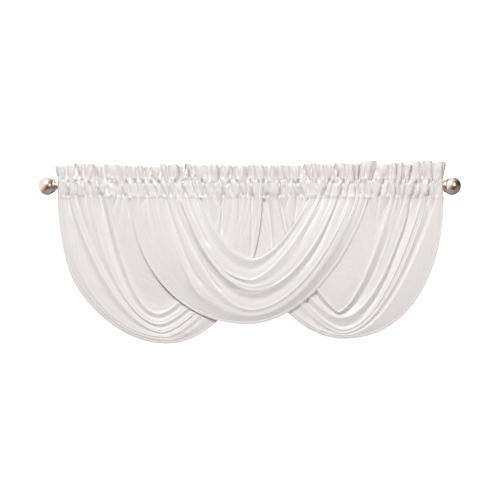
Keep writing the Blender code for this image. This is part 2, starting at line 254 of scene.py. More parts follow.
# %% Satin material
THREAD_DRAWN = 0.8 * MM
SLUB_LENGTH = 40 * MM
SLUB_HEIGHT = 2.2 * MM
RIPPLE = 16 * MM
HEM_STITCH = 8.0 * MM


def make_satin():
    """Satin weave polyester: near white, smooth, with a broad soft gloss."""
    material, tree, shader = new_material("satin_weave_polyester", {
        "Roughness": 0.38, "Specular IOR Level": 0.6, "IOR": 1.5,
        "Sheen Weight": 0.22, "Sheen Roughness": 0.45,
    })
    place = add_node(tree, "ShaderNodeUVMap", {"uv_map": "cloth"}).outputs["UV"]

    slub_map = add_node(tree, "ShaderNodeMapping", links={"Vector": place},
                        values={"Scale": (1 / SLUB_LENGTH, 1 / SLUB_HEIGHT, 1.0)})
    slub = add_node(tree, "ShaderNodeTexNoise", values={"Scale": 1.0, "Detail": 2.0},
                    links={"Vector": slub_map.outputs["Vector"]})
    tint = add_node(tree, "ShaderNodeValToRGB", links={"Fac": slub.outputs["Fac"]})
    for element, position, shade in zip(tint.color_ramp.elements, (0.3, 0.7), ("#EEEAEA", "#F6F3F3")):
        element.position = position
        element.color = colour(shade)
    tree.links.new(tint.outputs["Color"], shader.inputs["Base Color"])

    weave_map = add_node(tree, "ShaderNodeMapping", links={"Vector": place},
                         values={"Scale": (1 / THREAD_DRAWN, 1 / THREAD_DRAWN, 1.0)})
    weave = add_node(tree, "ShaderNodeTexWave", {"bands_direction": "DIAGONAL"},
                     {"Scale": 0.16, "Distortion": 1.5, "Detail": 1.0},
                     {"Vector": weave_map.outputs["Vector"]})
    ripple_map = add_node(tree, "ShaderNodeMapping", links={"Vector": place},
                          values={"Scale": (0.35 / RIPPLE, 1 / RIPPLE, 1.0)})
    ripple = add_node(tree, "ShaderNodeTexNoise", values={"Scale": 1.0, "Detail": 2.5},
                      links={"Vector": ripple_map.outputs["Vector"]})
    weave_bump = add_node(tree, "ShaderNodeBump", values={"Strength": 0.05, "Distance": 0.0003},
                          links={"Height": weave.outputs["Fac"]})
    ripple_bump = add_node(tree, "ShaderNodeBump", values={"Strength": 0.35, "Distance": 0.0016},
                           links={"Height": ripple.outputs["Fac"], "Normal": weave_bump.outputs["Normal"]})
    tree.links.new(ripple_bump.outputs["Normal"], shader.inputs["Normal"])
    return material


satin = make_satin()
print("made", satin.name)

# %% [markdown]
# ## Satin nickel
# The finials are spun brass, plated with nickel and brushed on the lathe. That leaves a warm grey
# metal whose highlight is a little blurred, with hairlines that run round the axis.

# %% Nickel material
HAIRLINE = 0.7 * MM


def make_nickel():
    """Satin nickel plate: warm grey metal with fine turned hairlines about X."""
    material, tree, shader = new_material("satin_nickel_plate", {"Metallic": 1.0})
    coordinates = add_node(tree, "ShaderNodeTexCoord")
    lines_map = add_node(tree, "ShaderNodeMapping", links={"Vector": coordinates.outputs["Object"]},
                         values={"Scale": (1 / HAIRLINE, 12.0, 12.0)})
    lines = add_node(tree, "ShaderNodeTexNoise", values={"Scale": 1.0, "Detail": 3.0},
                     links={"Vector": lines_map.outputs["Vector"]})
    tint = add_node(tree, "ShaderNodeValToRGB", links={"Fac": lines.outputs["Fac"]})
    tint.color_ramp.elements[0].color = colour("#A89A8E")
    tint.color_ramp.elements[1].color = colour("#CFC4BA")
    tree.links.new(tint.outputs["Color"], shader.inputs["Base Color"])
    gloss = add_node(tree, "ShaderNodeMapRange", links={"Value": lines.outputs["Fac"]},
                     values={"To Min": 0.24, "To Max": 0.34})
    tree.links.new(gloss.outputs["Result"], shader.inputs["Roughness"])
    bump = add_node(tree, "ShaderNodeBump", values={"Strength": 0.08, "Distance": 0.0002},
                    links={"Height": lines.outputs["Fac"]})
    tree.links.new(bump.outputs["Normal"], shader.inputs["Normal"])
    return material


nickel = make_nickel()
print("made", nickel.name)

# %% [markdown]
# ## Smooth curves through a few chosen points
# A maker drapes a cloth by a handful of fold lines, and the cloth runs smoothly between them.
# The same idea builds the surface: a few key rows of points, and a curve through each column of
# them. The curve's steps grow with the root of the distance between keys, which keeps it from
# swinging out where a long stretch meets a short one.

# %% Curve helpers
TINY = 1e-6


def smooth_step(low, high, value):
    """0 below low, 1 above high, and a soft rise between."""
    share = np.clip((value - low) / (high - low), 0.0, 1.0)
    return share * share * (3.0 - 2.0 * share)


def hump(distance, width):
    """1 where the distance is 0, falling softly to almost nothing at two widths."""
    return np.exp(-((distance / width) ** 2))


def smooth_through(keys, steps):
    """Points on smooth curves through key rows. keys is rows x axes x columns, steps one per gap."""
    gaps = np.sqrt(np.linalg.norm(np.diff(keys, axis=0), axis=1)) + TINY
    slopes = np.diff(keys, axis=0) / gaps[:, None, :]
    tangents = np.concatenate([slopes[:1], slopes[:1], slopes[-1:]])
    if len(keys) > 2:
        before = gaps[:-1, None, :]
        after = gaps[1:, None, :]
        inner = (slopes[:-1] * after + slopes[1:] * before) / (before + after)
        tangents = np.concatenate([slopes[:1], inner, slopes[-1:]])
    rows = []
    for index, count in enumerate(steps):
        reach = gaps[index][None, :]
        for step in range(count):
            t = step / count
            rows.append(
                (2 * t**3 - 3 * t**2 + 1) * keys[index]
                + (t**3 - 2 * t**2 + t) * reach * tangents[index]
                + (3 * t**2 - 2 * t**3) * keys[index + 1]
                + (t**3 - t**2) * reach * tangents[index + 1]
            )
    rows.append(keys[-1])
    return np.array(rows)


# %% [markdown]
# ## The fold lines of the three draped cloths
# Each fold hangs from two points on the seam and sags between them. One half of such a line is
# a curve (out / reach) ** bow + (down / drop) ** fall = 1: both powers at 2 give an ellipse, and
# powers near 1 give the straighter run of a tight fold. Places are in millimetres from the rod's
# middle, and drops are below the seam. The lines run where the solid model's do. Here the middle
# cloth's folds stand a few millimetres less far forward and the valleys are shallower, which shades
# more softly.

# %% Fold tables
Fold = namedtuple("Fold", "name left right low drop left_bow left_fall right_bow right_fall front")
Valley = namedtuple("Valley", "after left low right left_depth low_depth right_depth")

LEFT_FOLDS = table(
    Fold,
    ("inner", -377, -72, -240, 309, 2.2, 1.0, 1.6, 1.6, 27),
    ("second", -417, -33, -239, 337, 2.0, 1.3, 1.6, 1.6, 29),
    ("third", -480, 8, -233, 360, 1.75, 1.05, 1.5, 1.5, 30),
    ("fourth", -495, 20, -223, 372, 2.0, 2.0, 1.5, 1.5, 30),
    ("fifth", -505, 28, -212, 381, 2.0, 2.0, 1.6, 1.6, 29),
    ("hem", -512, 33, -220, 392, 2.0, 2.0, 2.0, 2.0, 26),
)
LEFT_VALLEYS = table(
    Valley,
    ("throat", 0.90, 0.94, 0.88, 1, 4, 2),
    ("inner", 0.45, 0.48, 0.35, 6.5, 4, 3),
    ("second", 0.70, 0.45, 0.50, 4, 3.6, 3.4),
    ("third", 0.30, 0.42, 0.50, 6, 2.4, 4),
    ("fourth", 0.50, 0.50, 0.50, 0, 1.4, 4),
    ("fifth", 0.50, 0.50, 0.50, 0, 0, 3),
)
RIGHT_FOLDS = table(
    Fold,
    ("inner", 79, 377, 235, 306, 1.3, 1.25, 1.6, 1.0, 30),
    ("second", 39, 431, 241, 319, 1.6, 1.4, 2.0, 1.0, 28),
    ("third", 8, 460, 247, 353, 1.6, 1.2, 2.0, 1.0, 30),
    ("fourth", -7, 473, 241, 363, 1.5, 1.2, 2.0, 1.05, 30),
    ("fifth", -17, 500, 252, 369, 1.9, 1.8, 2.0, 1.05, 29),
    ("hem", -25, 518, 247, 379, 1.9, 1.8, 2.25, 2.1, 26),
)
RIGHT_VALLEYS = table(
    Valley,
    ("throat", 0.80, 0.85, 0.74, 2, 0, 4),
    ("inner", 0.55, 0.50, 0.45, 4, 8, 3.4),
    ("second", 0.80, 0.80, 0.45, 4, 7, 6.5),
    ("third", 0.50, 0.50, 0.50, 3, 3, 3),
    ("fourth", 0.50, 0.50, 0.60, 3, 2, 4),
    ("fifth", 0.50, 0.50, 0.50, 0, 0, 0),
)
CENTRE_FOLDS = table(
    Fold,
    ("inner", -136, 161, 9, 165, 2.0, 1.0, 1.75, 1.0, 37),
    ("second", -161, 187, 1, 220, 2.0, 1.4, 1.55, 1.0, 41),
    ("third", -180, 228, 15, 245, 2.0, 1.15, 1.9, 1.15, 43),
    ("fourth", -217, 272, 4, 299, 1.85, 1.0, 1.9, 1.1, 42),
    ("fifth", -237, 281, 1, 316, 2.1, 1.4, 2.0, 1.15, 41),
    ("hem", -316, 316, -9, 340, 2.0, 2.0, 2.0, 1.28, 35),
)
CENTRE_VALLEYS = table(
    Valley,
    ("inner", 0.42, 0.45, 0.50, 5, 3.6, 2.8),
    ("second", 0.50, 0.50, 0.35, 3, 2.4, 3.4),
    ("third", 0.80, 0.46, 0.42, 8, 5, 3.4),
    ("fourth", 0.80, 0.50, 0.50, 5, 1.4, 1.8),
    ("fifth", 0.50, 0.50, 0.50, 2, 0.8, 1.4),
)
print("fold lines:", len(LEFT_FOLDS), len(RIGHT_FOLDS), len(CENTRE_FOLDS))

# %% [markdown]
# ## Creases laid on one by one
# Between the main folds a real cloth has softer ones: short tucks at the gathers, dark lines beside
# a crest, a fold that starts at the rod and fades away. Each is a path across the cloth, in
# millimetres (x, height), with a width and a depth. A depth above 0 is a trough and below 0 a ridge,
# and start and end give the share of the depth that is left at the path's two ends.

# %% Crease tables
Crease = namedtuple("Crease", "depth width start end path")

LEFT_CREASES = table(
    Crease,
    (-2.0, 7, 1.0, 0.0, ((-450, -30), (-441, -65), (-423, -129), (-411, -165), (-372, -238))),
    (-2.2, 6, 1.0, 0.3, ((-415, -34), (-411, -80), (-405, -124))),
    (4.0, 7, 1.0, 0.3, ((-396, -30), (-383, -86), (-369, -145), (-353, -198), (-332, -252),
     (-305, -300))), (-3.5, 14, 1.0, 0.2, ((-369, -30), (-361, -118), (-348, -185))),
    (-2.0, 3, 0.2, 0.2, ((-265, -318), (-239, -326), (-217, -318), (-204, -302))),
    (1.8, 5, 1.0, 0.0, ((-340, -30), (-340, -65), (-336, -125))),
    (2.6, 4, 1.0, 0.0, ((-330, -30), (-322, -70), (-316, -90))),
    (-2.0, 6, 0.4, 0.4, ((-204, -391), (-180, -393), (-159, -386))),
    (3.0, 4, 1.0, 0.0, ((-484, -30), (-481, -55), (-474, -85))),
    (7.5, 3.0, 1.0, 0.5, ((-71, -26), (-72, -70), (-75, -135))),
    (-1.8, 3.5, 0.5, 1.0, ((-80, -30), (-82, -80), (-84, -130))),
    (-2.5, 10, 0.6, 1.0, ((-42, -30), (-40, -90), (-38, -180))),
    (2.5, 3.0, 1.0, 0.6, ((-28, -26), (-27, -90), (-24, -170))),
    (-1.5, 2.0, 0.6, 0.6, ((1, -30), (0, -90), (-2, -190))),
    (7.0, 3.8, 1.0, 0.3, ((7, -26), (7, -90), (5, -190))),
    (-1.5, 3.0, 1.0, 0.6, ((24, -30), (19, -90), (13, -180))),
)
RIGHT_CREASES = table(
    Crease,
    (4.5, 3.5, 0.6, 0.6, ((177, -284), (201, -324), (236, -344), (268, -326), (289, -308))),
    (-2.0, 5, 1.0, 0.5, ((396, -30), (369, -145), (348, -204), (327, -252), (284, -316))),
    (3.0, 14, 0.2, 0.5, ((329, -78), (308, -145), (289, -252))),
    (4.5, 4, 1.0, 0.7, ((433, -34), (415, -116), (393, -172), (369, -236), (332, -305), (281, -366))),
    (4.0, 5, 0.7, 0.6, ((149, -308), (170, -358), (186, -388))),
    (-2.0, 6, 0.7, 0.6, ((137, -312), (154, -362), (172, -388))),
    (-2.0, 8, 1.0, 0.2, ((495, -30), (503, -80), (500, -160))),
    (3.0, 7, 1.0, 0.0, ((472, -30), (477, -80), (466, -150))),
    (11.0, 4.8, 0.45, 0.6, ((42, -26), (52, -70), (60, -165), (62, -215))),
    (-2.5, 8.0, 1.0, 0.5, ((62, -30), (68, -80), (76, -150))),
    (15.0, 4.8, 0.40, 1.0, ((79, -26), (86, -60), (100, -128), (104, -150))),
    (-1.5, 3.0, 0.6, 1.0, ((71, -30), (79, -70), (92, -126))),
    (6.5, 5, 1.0, 0.6, ((130, -26), (127, -50), (122, -90), (118, -130))),
    (2.5, 4, 1.0, 0.0, ((345, -30), (340, -70), (336, -120))),
)
CENTRE_CREASES = table(
    Crease,
    (2.2, 4, 0.7, 0.2, ((-272, -30), (-261, -86), (-248, -129), (-244, -169))),
    (3.0, 6, 1.0, 0.0, ((-276, -28), (-284, -45), (-293, -66))),
    (-3.5, 5, 1.0, 0.6, ((-234, -40), (-210, -120), (-189, -173), (-167, -231), (-143, -280),
     (-100, -316))),
    (5.0, 5, 0.6, 0.8, ((-222, -40), (-200, -108), (-172, -185), (-145, -238), (-120, -270))),
    (8.5, 3.6, 0.5, 0.8, ((-213, -28), (-188, -92), (-159, -153), (-124, -212), (-91, -262),
     (-70, -286))),
    (-4.0, 5, 1.0, 0.6, ((-185, -38), (-158, -92), (-137, -145), (-113, -185), (-88, -220),
     (-52, -252), (0, -272))),
    (10.0, 5, 0.5, 0.6, ((-172, -26), (-156, -65), (-138, -105), (-124, -135), (-104, -168))),
    (-2.5, 4, 0.6, 1.0, ((-124, -172), (-92, -212), (-38, -242), (2, -252))),
    (3.4, 4, 0.8, 0.4, ((198, -30), (185, -62), (159, -108), (129, -160))),
    (3.4, 4, 0.8, 0.4, ((239, -34), (217, -89), (193, -142), (166, -190), (132, -230))),
    (3.0, 5, 0.4, 0.4, ((-50, -272), (13, -282), (70, -266))),
)
CREASE_STEPS = 10
CREASE_REACH = 2.6
CREASE_FADE = 0.18
print("creases:", len(LEFT_CREASES) + len(RIGHT_CREASES) + len(CENTRE_CREASES))

# %% Pressing the creases in
def crease_push(x, z, crease):
    """How far back a crease presses the cloth at each x and z, in metres."""
    keys = np.array(crease.path, float)[:, :, None] * MM
    path = smooth_through(keys, [CREASE_STEPS] * (len(keys) - 1))[:, :, 0]
    push = np.zeros(x.shape)
    low = path.min(axis=0) - CREASE_REACH * crease.width * MM
    high = path.max(axis=0) + CREASE_REACH * crease.width * MM
    near = (x > low[0]) & (x < high[0]) & (z > low[1]) & (z < high[1])
    x = x[near]
    z = z[near]
    nearest = np.full(x.shape, np.inf)
    place = np.zeros(x.shape)
    for index in range(len(path) - 1):
        ax, az = path[index]
        bx, bz = path[index + 1] - path[index]
        share = np.clip(((x - ax) * bx + (z - az) * bz) / (bx * bx + bz * bz), 0.0, 1.0)
        gap = np.hypot(x - ax - share * bx, z - az - share * bz)
        closer = gap < nearest
        nearest = np.where(closer, gap, nearest)
        place = np.where(closer, (index + share) / (len(path) - 1), place)
    strength = crease.start + (crease.end - crease.start) * place
    strength = strength * smooth_step(0.0, CREASE_FADE, 1.0 - place)
    push[near] = crease.depth * MM * strength * hump(nearest, crease.width * MM)
    return push


def press_creases(x, z, creases):
    """The push of all creases together."""
    push = np.zeros(x.shape)
    for crease in creases:
        push += crease_push(x, z, crease)
    return push


# %% [markdown]
# ## From fold lines to a whole cloth
# Every fold line is walked in even steps, so the same step on the next line lies beside it and the
# rows of the cloth run along the folds. Between two lines the cloth leaves the crest, drops into the
# valley and rises to the next crest. The side cloths also have a throat, which falls from the seam
# into the innermost fold. The middle cloth has a free edge instead, folded back behind its crest.

# %% Numbers of the drape
SWAG_COLUMNS = 236
CURVE_SAMPLES = 1200
ROW_PITCH = 2.3 * MM
THROAT_PITCH = 4.2 * MM
SEAM_Z = -0.0290
SEAM_HOLD = 0.006
FALL_BOW = 1.7
RELIEF_DROP = 0.055
SEAM_RELIEF = 0.35
FLAT_BAND = 0.004
OPEN_BAND = 0.016
CREST_ROLL = 0.0016
FULL_ROLL_DEPTH = 0.003
CALM_ABOVE = 0.11
CALM_UNTIL = 0.25
RIDGE_PLACE = 0.10
RIDGE_SHARE = 0.45
RISE_PLACE = 0.58
RISE_DEPTH = 0.55
VALLEY_NEARER = 1.05
THROAT_PINCH = 0.012
THROAT_STEPS = (0.0, 0.33, 0.67, 1.0)
THROAT_LAST = 0.16
THROAT_BEND_START = 0.1
THROAT_SPREAD = 0.6
SET_BACK = 0.0074
SET_BACK_SEAM = 0.85
SET_BACK_FROM = 0.030
SET_BACK_TO = 0.085
SET_BACK_FULL_X = 0.036
SET_BACK_NONE_X = 0.085
HEM_SWELL = 0.0085
HEM_SWELL_DROP = 0.225
HEM_SWELL_SPREAD = 0.085
HEM_SWELL_DOWN = 0.4
FOLDED_BACK = ((0.70, 1.0), (0.32, 1.0), (0.06, 0.6))
FOLDED_DEPTH = 0.0055
FOLDED_GAP = 0.0028
CLOTH_THICKNESS = 0.0004


# %% Fold lines
def half_curve(reach, drop, bow, fall):
    """Evenly walked points of one half of a fold line, from the seam to its lowest point.

    reach and drop are in millimetres, the points in metres.
    """
    angle = np.linspace(0.0, math.pi / 2, CURVE_SAMPLES)
    out = reach * MM * np.cos(angle) ** (2.0 / bow)
    down = drop * MM * np.sin(angle) ** (2.0 / fall)
    steps = np.hypot(np.diff(out), np.diff(down))
    walked = np.concatenate([[0.0], np.cumsum(steps)])
    even = np.linspace(0.0, walked[-1], SWAG_COLUMNS // 2 + 1)
    return np.interp(even, walked, out), np.interp(even, walked, down)


def fold_line(fold):
    """x and drop of a whole fold line, from its left end to its right end."""
    left_out, left_down = half_curve(fold.low - fold.left, fold.drop, fold.left_bow, fold.left_fall)
    right_out, right_down = half_curve(fold.right - fold.low, fold.drop, fold.right_bow, fold.right_fall)
    x = fold.low * MM + np.concatenate([-left_out, right_out[::-1][1:]])
    down = np.concatenate([left_down, right_down[::-1][1:]])
    return x, down


def along(left, low, right):
    """A value that runs from its left size over its lowest point's to its right size."""
    walk = np.linspace(0.0, 1.0, SWAG_COLUMNS + 1)
    side = np.where(walk < 0.5, left, right)
    return side + (low - side) * np.sin(math.pi * walk) ** 2


def swell_left_hem(x, down):
    """Moves the left side of a hem out a little."""
    on_left = np.linspace(0.0, 1.0, len(x)) < 0.5
    swell = HEM_SWELL * hump(down - HEM_SWELL_DROP, HEM_SWELL_SPREAD)
    return x - swell * on_left, down + HEM_SWELL_DOWN * swell * on_left


def fold_forward(fold, down, seam_forward, bow):
    """How far the crest of a fold stands in front of the rod's axis."""
    share = np.clip((down - SEAM_HOLD) / (fold.drop * MM - SEAM_HOLD), 0.0, 1.0)
    return seam_forward + (fold.front * MM - seam_forward) * (1.0 - (1.0 - share) ** bow)


# %% Rows between the fold lines
def relief(down):
    """Share of the folds' depth at a drop below the seam."""
    return SEAM_RELIEF + (1.0 - SEAM_RELIEF) * (1.0 - np.exp(-down / RELIEF_DROP))


def band_rows(here, there, valley, calm):
    """Key rows of one fold, from its crest to just before the next crest."""
    x, down, _ = here
    width = np.hypot(there[0] - x, there[1] - down)
    open_share = np.clip((width - FLAT_BAND) / (OPEN_BAND - FLAT_BAND), 0.0, 1.0) * calm
    depth = MM * along(valley.left_depth, valley.low_depth, valley.right_depth)
    roll = CREST_ROLL * np.minimum(1.0, depth / FULL_ROLL_DEPTH)
    depth = depth * relief(down) * open_share
    place = VALLEY_NEARER * along(valley.left, valley.low, valley.right)
    ridge = np.minimum(RIDGE_PLACE, RIDGE_SHARE * place)
    rise = place + (1.0 - place) * RISE_PLACE
    rows = []
    for share, behind in (
        (0.0, roll * open_share * relief(down)),
        (ridge, 0.0),
        (place, depth),
        (rise, RISE_DEPTH * depth),
    ):
        row_x, row_down, row_forward = [mine + (other - mine) * share for mine, other in zip(here, there)]
        rows.append((row_x, row_down, row_forward - behind))
    return rows


def throat_rows(first, valley, seam_forward):
    """Key rows of the cloth that falls from the seam into the innermost fold, top row first."""
    x, down, forward = first
    walk = np.linspace(0.0, 1.0, len(x))
    across = (x - x[0]) / (x[-1] - x[0])
    width = x[-1] - x[0] - 2.0 * THROAT_PINCH
    spread = THROAT_SPREAD * across + (1.0 - THROAT_SPREAD) * walk
    seam_x = x[0] + THROAT_PINCH + width * spread
    depth = MM * along(valley.left_depth, valley.low_depth, valley.right_depth) * relief(down)
    place = along(valley.left, valley.low, valley.right)
    shares = [step * (place - THROAT_LAST) for step in THROAT_STEPS]
    bends = [depth * smooth_step(THROAT_BEND_START, 1.0, share) for share in shares]
    rows = []
    for share, bend in zip(shares + [place], bends + [depth]):
        row_forward = seam_forward + (forward - seam_forward) * share - bend
        rows.append((seam_x + (x - seam_x) * share, down * share, row_forward))
    return rows


def folded_back_rows(first, second):
    """Key rows of the cloth that is turned back behind a free folded edge."""
    x, down, forward = first
    rows = []
    depth = FOLDED_DEPTH * relief(down) + FOLDED_GAP
    for share, depth_share in FOLDED_BACK:
        row_x = x + (second[0] - x) * share
        row_down = down + (second[1] - down) * share
        rows.append((row_x, row_down, forward - depth * depth_share))
    return rows


def calm_share(down, side):
    """0 in the upper part of the side (-1 left, 1 right) where the cloth hangs straight, else 1."""
    walk = np.linspace(-1.0, 1.0, len(down))
    return np.where(walk * side > 0.0, smooth_step(CALM_ABOVE, CALM_UNTIL, down), 1.0)


# %% Whole draped cloth
def swag_points(folds, valleys, seam_forward, free_edge, swell, calm_side, hem_bow):
    """The whole cloth as rows of points (x, drop, forward), from its top or free edge to its hem."""
    lines = []
    for fold in folds:
        x, down = fold_line(fold)
        if swell and fold.name == "hem":
            x, down = swell_left_hem(x, down)
        bow = hem_bow if fold.name == "hem" else FALL_BOW
        lines.append((x, down, fold_forward(fold, down, seam_forward, bow)))
    if free_edge:
        keys = folded_back_rows(lines[0], lines[1])
        bands = valleys
        throat_gaps = 0
    else:
        keys = throat_rows(lines[0], valleys[0], seam_forward)
        bands = valleys[1:]
        throat_gaps = len(keys) - 1
    for here, there, valley in zip(lines[:-1], lines[1:], bands):
        keys.extend(band_rows(here, there, valley, calm_share(here[1], calm_side)))
    keys.append(lines[-1])
    keys = np.array(keys)
    widest = np.linalg.norm(np.diff(keys, axis=0), axis=1).max(axis=1)
    pitch = np.where(np.arange(len(widest)) < throat_gaps, THROAT_PITCH, ROW_PITCH)
    steps = np.maximum(2, np.ceil(widest / pitch).astype(int))
    return smooth_through(keys, steps), int(steps[:throat_gaps].sum())


print("drape functions ready")

# %% [markdown]
# ## Gathers at the seam
# The heading draws the cloth up along its seam, so every cloth starts with small pleats that open
# out as it falls. They come at uneven places, and each is a narrow tuck between two rounded puffs.

# %% Seam gathers
# stitch and seam are where a deep line crosses the upper stitches and the seam, in millimetres
Gather = namedtuple("Gather", "stitch seam depth")
GATHERS = table(
    Gather,
    (-512, -512, 0.6), (-484, -483, 1.0), (-463, -462, 0.7), (-447, -436, 1.0), (-428, -420, 0.6),
    (-408, -399, 1.1), (-385, -373, 0.8), (-355, -352, 0.5), (-341, -337, 1.0), (-328, -317, 0.9),
    (-306, -297, 0.8), (-285, -272, 1.0), (-263, -246, 1.0), (-243, -224, 0.9), (-217, -209, 1.0),
    (-198, -190, 0.8), (-190, -167, 1.2), (-160, -141, 0.9), (-141, -129, 0.9), (-127, -116, 0.9),
    (-104, -92, 0.7), (-79, -68, 1.1), (-55, -44, 0.8), (-36, -18, 1.0), (-8, -5, 0.8), (3, 8, 1.2),
    (23, 27, 0.8), (38, 38, 1.1), (46, 50, 0.8), (78, 83, 1.2), (97, 105, 0.7), (116, 128, 0.9),
    (127, 143, 1.1), (152, 157, 0.6), (170, 182, 0.8), (212, 194, 1.1), (225, 217, 0.5),
    (252, 241, 1.1), (270, 262, 0.5), (281, 284, 1.0), (298, 295, 0.9), (309, 311, 0.7),
    (324, 329, 0.8), (358, 345, 1.0), (372, 376, 0.7), (389, 391, 0.9), (405, 401, 0.8),
    (416, 414, 0.8), (445, 434, 1.1), (458, 455, 0.8), (480, 479, 1.0), (491, 497, 0.7),
    (516, 518, 0.6),
)
GATHER_DEPTH = 0.0023
GATHER_FALL = 0.045
GATHER_SHARP = 3.0
GATHER_BLEND_ROWS = 12
FULL_PUFF = 0.016


def between_lines(lines, x):
    """The line to the left of each x, and how far x is on its way to the next line."""
    index = np.clip(np.searchsorted(lines, x) - 1, 0, len(lines) - 2)
    return index, np.clip((x - lines[index]) / (lines[index + 1] - lines[index]), 0.0, 1.0)


def puff(share, left_depth, right_depth, power):
    """Minus the nearest line's depth on a line, and up to 1 on the puff between two lines."""
    nearest = np.where(share < 0.5, left_depth, right_depth)
    return 1.0 - (1.0 + nearest) * np.abs(2.0 * share - 1.0) ** power


def gather_wave(x, height=0.0):
    """Below 0 in each tuck and up to 1 on the puffs. height is 0 at the seam, 1 at the stitches."""
    seam = column(GATHERS, "seam") * MM
    lines = seam + (column(GATHERS, "stitch") * MM - seam) * height
    depth = column(GATHERS, "depth")
    index, share = between_lines(lines, x)
    rounding = np.minimum(1.0, (lines[index + 1] - lines[index]) / FULL_PUFF)
    return rounding * puff(share, depth[index], depth[index + 1], GATHER_SHARP)


def gather_push(points, throat_rows_count):
    """How far back the gathers press the cloth, most at the seam and fading as it falls.

    In the throat a gather runs straight down a column. Elsewhere it runs along the fold, so it is
    found from the place where that row meets the seam, on the left or on the right.
    """
    x = points[:, 0]
    down = points[:, 1]
    walk = np.linspace(-1.0, 1.0, x.shape[1])
    ends = np.where(walk < 0.0, x[:, :1], x[:, -1:])
    if throat_rows_count:
        ends[:throat_rows_count] = x[0]
        blend = smooth_step(0.0, GATHER_BLEND_ROWS, np.arange(len(x) - throat_rows_count))[:, None]
        below = ends[throat_rows_count:]
        ends[throat_rows_count:] = x[0] + (below - x[0]) * blend
    return -GATHER_DEPTH * (1.0 + gather_wave(ends)) * np.exp(-down / GATHER_FALL)


print("gathers along the seam:", len(GATHERS))

# %% [markdown]
# ## The hem
# The cloth's edge is turned up 8 mm and sewn. The doubled band lies a little proud, and the line of
# stitches pulls a shallow groove along it.

# %% Hem
HEM_PROUD = 0.0004
STITCH_GROOVE = 0.0007
STITCH_WIDTH = 0.0013


def from_hem(points):
    """Distance of each point from the hem, measured along its column."""
    steps = np.linalg.norm(np.diff(points, axis=0), axis=1)
    return np.concatenate([np.cumsum(steps[::-1], axis=0)[::-1], np.zeros((1, points.shape[2]))])


def hem_push(edge):
    """Forward for the doubled band and back for the stitch line, at a distance from the hem."""
    band = HEM_PROUD * (1.0 - smooth_step(HEM_STITCH - STITCH_WIDTH, HEM_STITCH + STITCH_WIDTH, edge))
    groove = STITCH_GROOVE * hump(edge - HEM_STITCH, STITCH_WIDTH)
    return groove - band


# %% Grid of cloth
def cloth_object(name, points, edge):
    """A grid that takes the given points, lowest row first so that it faces the front, with its map.

    points is rows x (x, y, z) x columns. edge is the map's second number, the distance from the hem.
    """
    points = points[::-1]
    edge = edge[::-1]
    rows = points.shape[0] - 1
    columns = points.shape[2] - 1
    middle = points[rows // 2]
    walked = np.concatenate([[0.0], np.cumsum(np.linalg.norm(np.diff(middle, axis=1), axis=0))])
    sheet = bmesh.new()
    bmesh.ops.create_grid(sheet, x_segments=columns, y_segments=rows, size=0.5)
    layer = sheet.verts.layers.float_vector.new("spot")
    for vertex in sheet.verts:
        column = round((vertex.co.x + 0.5) * columns)
        row = round((vertex.co.y + 0.5) * rows)
        vertex[layer] = (walked[column], edge[row, column], 0.0)
        vertex.co = points[row, :, column]
    cloth_map = sheet.loops.layers.uv.new("cloth")
    for face in sheet.faces:
        for corner in face.loops:
            corner[cloth_map].uv = corner.vert[layer][:2]
    sheet.verts.layers.float_vector.remove(layer)
    # The rims stay crisp, so that the smooth shading doesn't darken the cloth beside its edges
    for line in sheet.edges:
        line.smooth = not line.is_boundary
    cloth = shape_object(name, sheet, satin)
    cloth.data.shade_smooth()
    solidify = cloth.modifiers.new("thickness", "SOLIDIFY")
    solidify.thickness = CLOTH_THICKNESS
    solidify.offset = 0.0
    return cloth


def flat_area(mesh):
    """Area of one side of a sheet, in square metres."""
    return sum(face.area for face in mesh.polygons)


# %% [markdown]
# ## The three draped cloths
# The left cloth hangs in front of the right one where they meet in the middle, so the right one is
# set back there by a few millimetres. The middle cloth is sewn on last, in front of both.

# %% Side and middle cloths
def set_back(x, z):
    """How far the right cloth keeps behind the left one, less at the seam than below it."""
    share = SET_BACK_SEAM + (1.0 - SET_BACK_SEAM) * smooth_step(SET_BACK_FROM, SET_BACK_TO, -z)
    return SET_BACK * share * (1.0 - smooth_step(SET_BACK_FULL_X, SET_BACK_NONE_X, x))


def make_swag(name, node, folds, valleys, creases, seam_forward, free_edge=False, swell=False,
              behind=None, calm_side=0, hem_bow=FALL_BOW):
    """One draped cloth, placed on its solid's folds."""
    points, throat = swag_points(folds, valleys, seam_forward, free_edge, swell, calm_side, hem_bow)
    x = points[:, 0]
    down = points[:, 1]
    z = SEAM_Z - down
    edge = from_hem(points)
    push = press_creases(x, z, creases) + gather_push(points, throat) + hem_push(edge)
    y = push - points[:, 2]
    if behind:
        y = y + behind(x, z)
    placed = np.stack([x, y, z], axis=1)
    cloth = cloth_object(name, placed, edge)
    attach(cloth, "root")
    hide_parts(node)
    area = flat_area(cloth.data)
    print(f"{name}: {points.shape[0]} rows of {points.shape[2]} points, {area:.3f} square metres")
    return cloth, placed


SIDE_SEAM_FORWARD = 0.0120
CENTRE_SEAM_FORWARD = 0.0148
CENTRE_HEM_BOW = 0.88

left_swag, left_points = make_swag(
    "left_swag_cloth", "swag_left", LEFT_FOLDS, LEFT_VALLEYS, LEFT_CREASES, SIDE_SEAM_FORWARD,
    swell=True, calm_side=1)
right_swag, right_points = make_swag(
    "right_swag_cloth", "swag_right", RIGHT_FOLDS, RIGHT_VALLEYS, RIGHT_CREASES, SIDE_SEAM_FORWARD,
    behind=set_back, calm_side=-1)
centre_swag, centre_points = make_swag(
    "centre_swag_cloth", "swag_centre", CENTRE_FOLDS, CENTRE_VALLEYS, CENTRE_CREASES, CENTRE_SEAM_FORWARD,
    free_edge=True, hem_bow=CENTRE_HEM_BOW)

